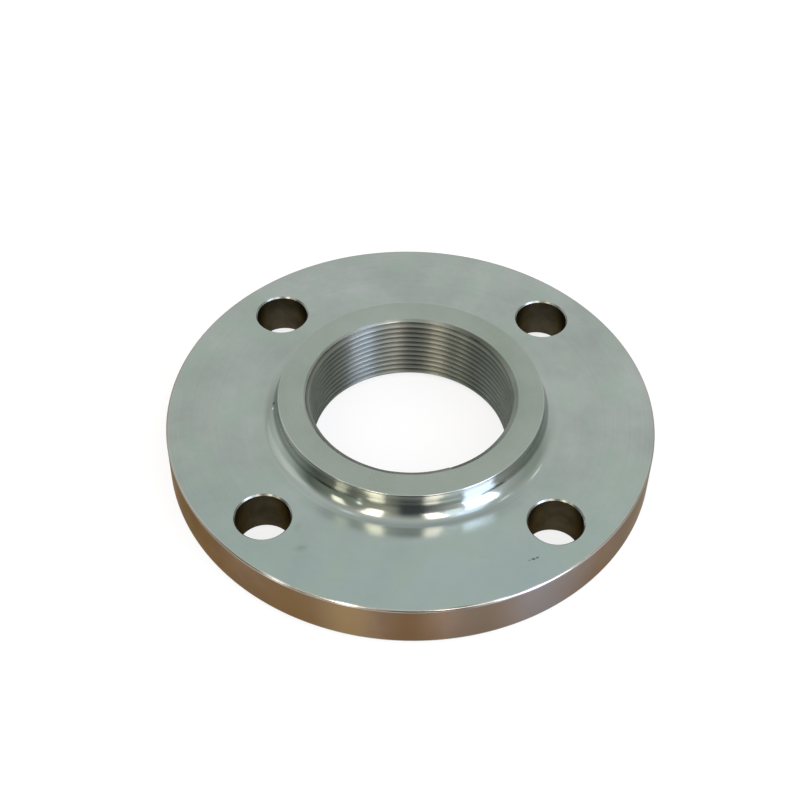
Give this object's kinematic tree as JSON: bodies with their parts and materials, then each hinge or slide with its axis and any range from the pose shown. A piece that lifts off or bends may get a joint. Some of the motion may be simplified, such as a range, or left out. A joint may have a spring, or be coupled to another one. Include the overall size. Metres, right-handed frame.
{
  "type": "threaded flange",
  "caption": "Round steel pipe flange with a raised hub, a taper-threaded bore for the pipe and a ring of bolt holes, which bolts to a mating flange.",
  "frame": {"origin": "centre of the gasket face, which is the lowest face, on the axis of the bore", "axes": "+Z runs along the bore from the gasket face towards the hub; the bolt holes lie at 45 degrees to X and Y"},
  "size_m": [0.175, 0.175, 0.0286],
  "materials": {
    "turned_steel": "bright turned steel: satin faces with a faint grey-green tone, a polished hub wall and browner edges"
  },
  "bodies": {
    "root": {"flange": "turned_steel"}
  },
  "joints": []
}
